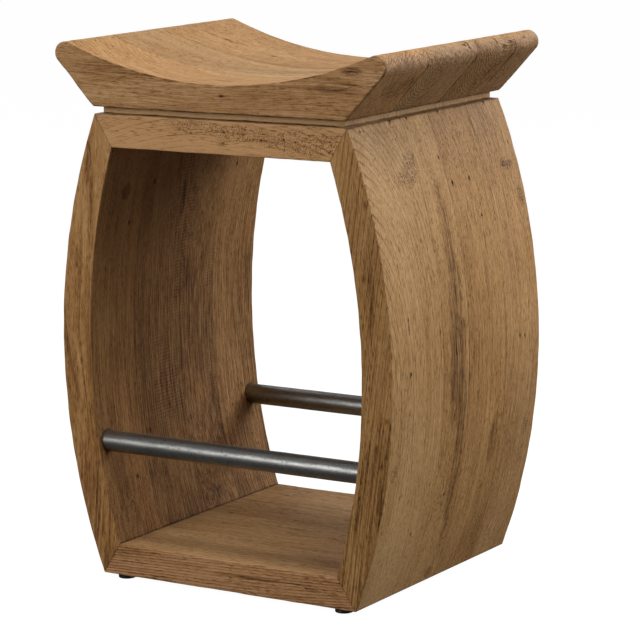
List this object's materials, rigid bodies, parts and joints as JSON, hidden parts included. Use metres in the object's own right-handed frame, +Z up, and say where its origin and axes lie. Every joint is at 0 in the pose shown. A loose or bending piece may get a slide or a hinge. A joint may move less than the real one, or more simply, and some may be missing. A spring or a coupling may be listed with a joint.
{
  "type": "bar stool with footrest",
  "caption": "Backless counter stool of reclaimed elm: dished saddle seat on a mitred barrel-shaped open carcass, with dark round steel footrest rails near the floor.",
  "frame": {"origin": "on the floor, under the middle of the stool", "axes": "+X along the seat's length, to the right seen from the front; -Y towards the front; +Z up"},
  "size_m": [0.47, 0.366, 0.6615],
  "materials": {
    "seat_elm": "oiled reclaimed elm, lighter tan on the dished top, fine open grain",
    "side_elm": "oiled reclaimed elm, warm mid brown with grey-brown weathering",
    "board_elm": "oiled reclaimed elm, warm mid brown",
    "rail_steel": "blackened steel, satin, lightly mottled",
    "tenon_beech": "bare beech",
    "screw_steel": "zinc-plated steel",
    "glide_nylon": "black nylon, satin"
  },
  "bodies": {
    "root": {"seat_plank_1": "seat_elm", "seat_plank_2": "seat_elm", "seat_plank_3": "seat_elm", "seat_plank_4": "seat_elm", "reveal_board": "board_elm", "left_stave_1": "side_elm", "left_stave_2": "side_elm", "left_stave_3": "side_elm", "left_stave_4": "side_elm", "right_stave_1": "side_elm", "right_stave_2": "side_elm", "right_stave_3": "side_elm", "right_stave_4": "side_elm", "top_plank_1": "board_elm", "top_plank_2": "board_elm", "top_plank_3": "board_elm", "top_plank_4": "board_elm", "bottom_plank_1": "board_elm", "bottom_plank_2": "board_elm", "bottom_plank_3": "board_elm", "bottom_plank_4": "board_elm", "front_rail": "rail_steel", "rear_rail": "rail_steel", "tenon_top_left_1": "tenon_beech", "tenon_top_left_2": "tenon_beech", "tenon_top_left_3": "tenon_beech", "tenon_top_left_4": "tenon_beech", "tenon_top_right_1": "tenon_beech", "tenon_top_right_2": "tenon_beech", "tenon_top_right_3": "tenon_beech", "tenon_top_right_4": "tenon_beech", "tenon_bottom_left_1": "tenon_beech", "tenon_bottom_left_2": "tenon_beech", "tenon_bottom_left_3": "tenon_beech", "tenon_bottom_left_4": "tenon_beech", "tenon_bottom_right_1": "tenon_beech", "tenon_bottom_right_2": "tenon_beech", "tenon_bottom_right_3": "tenon_beech", "tenon_bottom_right_4": "tenon_beech", "seat_screw_1": "screw_steel", "seat_screw_2": "screw_steel", "seat_screw_3": "screw_steel", "seat_screw_4": "screw_steel", "seat_screw_5": "screw_steel", "seat_screw_6": "screw_steel", "glide_pad_front_left": "glide_nylon", "glide_pad_rear_left": "glide_nylon", "glide_pad_front_right": "glide_nylon", "glide_pad_rear_right": "glide_nylon", "glide_screw_front_left": "screw_steel", "glide_screw_rear_left": "screw_steel", "glide_screw_front_right": "screw_steel", "glide_screw_rear_right": "screw_steel"}
  },
  "joints": []
}
